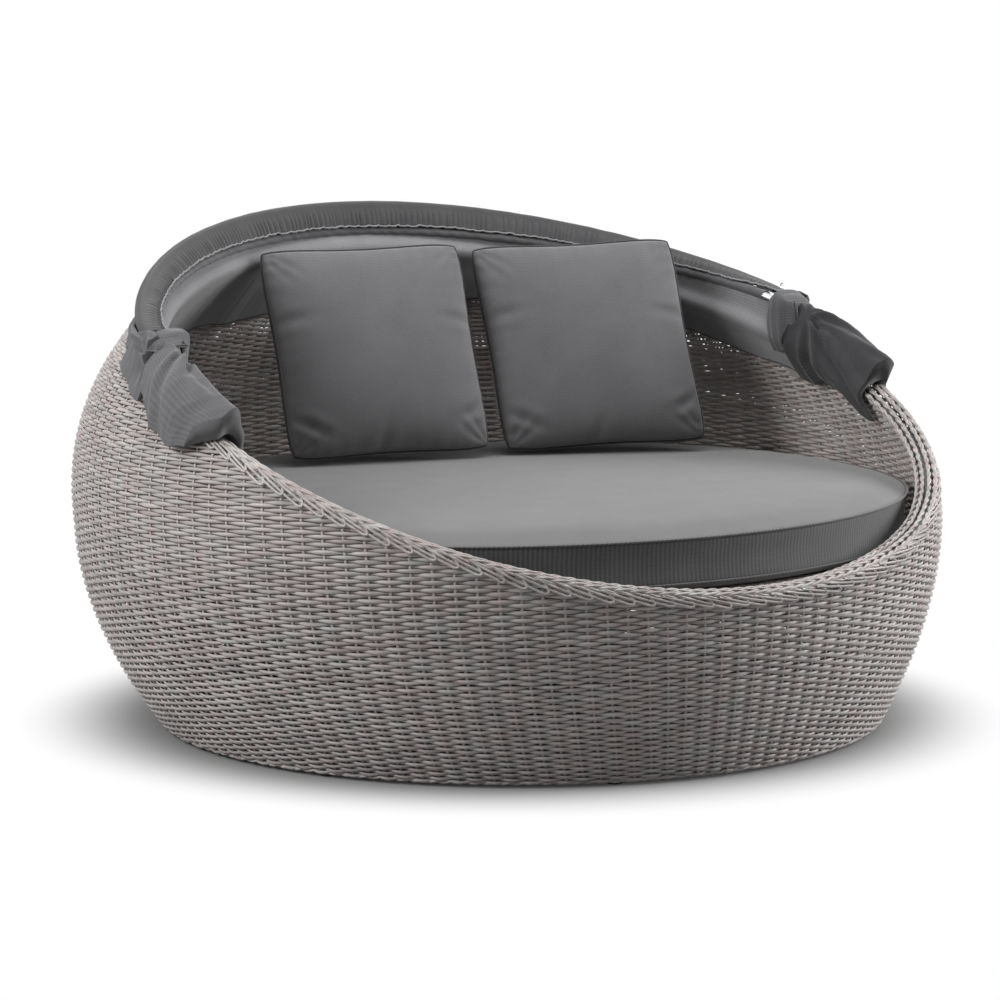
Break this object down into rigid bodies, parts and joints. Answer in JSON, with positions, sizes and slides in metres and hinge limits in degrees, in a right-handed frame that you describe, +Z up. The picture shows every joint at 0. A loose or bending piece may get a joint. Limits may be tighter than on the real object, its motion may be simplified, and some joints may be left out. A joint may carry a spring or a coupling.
{
  "type": "outdoor daybed with canopy",
  "caption": "Round woven daybed with a tilted bowl-shaped back, oval seat cushion, scatter pillows and a folding cloth canopy on nested bows pivoted at the rim.",
  "frame": {"origin": "on the floor under the middle of the whole daybed's bounding box", "axes": "+X to the sitter's left across the daybed, seen from the front as the right; -Y is the open front where the rim is lowest; +Z up"},
  "size_m": [1.8198, 1.628, 1.013],
  "materials": {
    "wicker": "woven half-round resin strand, light warm grey, satin",
    "wicker_inside": "the same woven strand on the shaded inside faces",
    "frame_metal": "powder-coated grey tube, satin",
    "bow_metal": "plain satin tube",
    "bright_steel": "bright zinc-plated steel",
    "black_plastic": "moulded black plastic",
    "canopy_cloth": "charcoal woven outdoor cloth",
    "seat_cloth": "mid-grey woven outdoor cloth over foam",
    "pillow_cloth": "charcoal woven outdoor cloth over fibre filling"
  },
  "bodies": {
    "daybed": {"base_ring": "frame_metal", "glide_1": "black_plastic", "glide_2": "black_plastic", "glide_3": "black_plastic", "glide_4": "black_plastic", "glide_5": "black_plastic", "glide_6": "black_plastic", "glide_7": "black_plastic", "glide_8": "black_plastic", "rib_1": "frame_metal", "rib_2": "frame_metal", "rib_3": "frame_metal", "rib_4": "frame_metal", "rib_5": "frame_metal", "rib_6": "frame_metal", "rib_7": "frame_metal", "rib_8": "frame_metal", "rib_9": "frame_metal", "rib_10": "frame_metal", "rib_11": "frame_metal", "rib_12": "frame_metal", "rib_13": "frame_metal", "rib_14": "frame_metal", "seat_ring": "frame_metal", "seat_slat_1": "frame_metal", "seat_slat_2": "frame_metal", "seat_slat_3": "frame_metal", "seat_slat_4": "frame_metal", "seat_slat_5": "frame_metal", "seat_slat_6": "frame_metal", "rim_tube": "frame_metal", "outer_weave": "wicker", "inner_weave": "wicker_inside", "seat_deck": "wicker_inside", "rim_braid": "wicker", "pivot_bracket_right": "bright_steel", "pivot_bracket_left": "bright_steel", "pivot_bolt_right": "bright_steel", "pivot_bolt_left": "bright_steel", "pivot_nut_right": "black_plastic", "pivot_nut_left": "black_plastic", "rear_bow": "bow_metal", "rear_sleeve": "canopy_cloth", "canopy_back": "canopy_cloth", "canopy_flap": "canopy_cloth", "canopy_gather_right": "canopy_cloth", "canopy_gather_left": "canopy_cloth", "seat_cushion": "seat_cloth", "pillow_left": "pillow_cloth", "pillow_right": "pillow_cloth"},
    "middle_canopy": {"middle_bow": "bow_metal", "middle_sleeve": "canopy_cloth"},
    "front_canopy": {"front_bow": "bow_metal", "front_sleeve": "canopy_cloth", "zip_pull": "bright_steel"}
  },
  "joints": [
    {"name": "middle_bow_hinge", "type": "hinge", "parent": "daybed", "child": "middle_canopy", "pos_m": [0, 0.05772, 0.7929], "axis": [1, 0, 0], "range_deg": [0, 48]},
    {"name": "front_bow_hinge", "type": "hinge", "parent": "middle_canopy", "child": "front_canopy", "pos_m": [0, 0.05772, 0.7929], "axis": [1, 0, 0], "range_deg": [0, 48]}
  ],
  "couplings": [
    {"joint": "front_bow_hinge", "follows": "middle_bow_hinge", "ratio": 1}
  ]
}
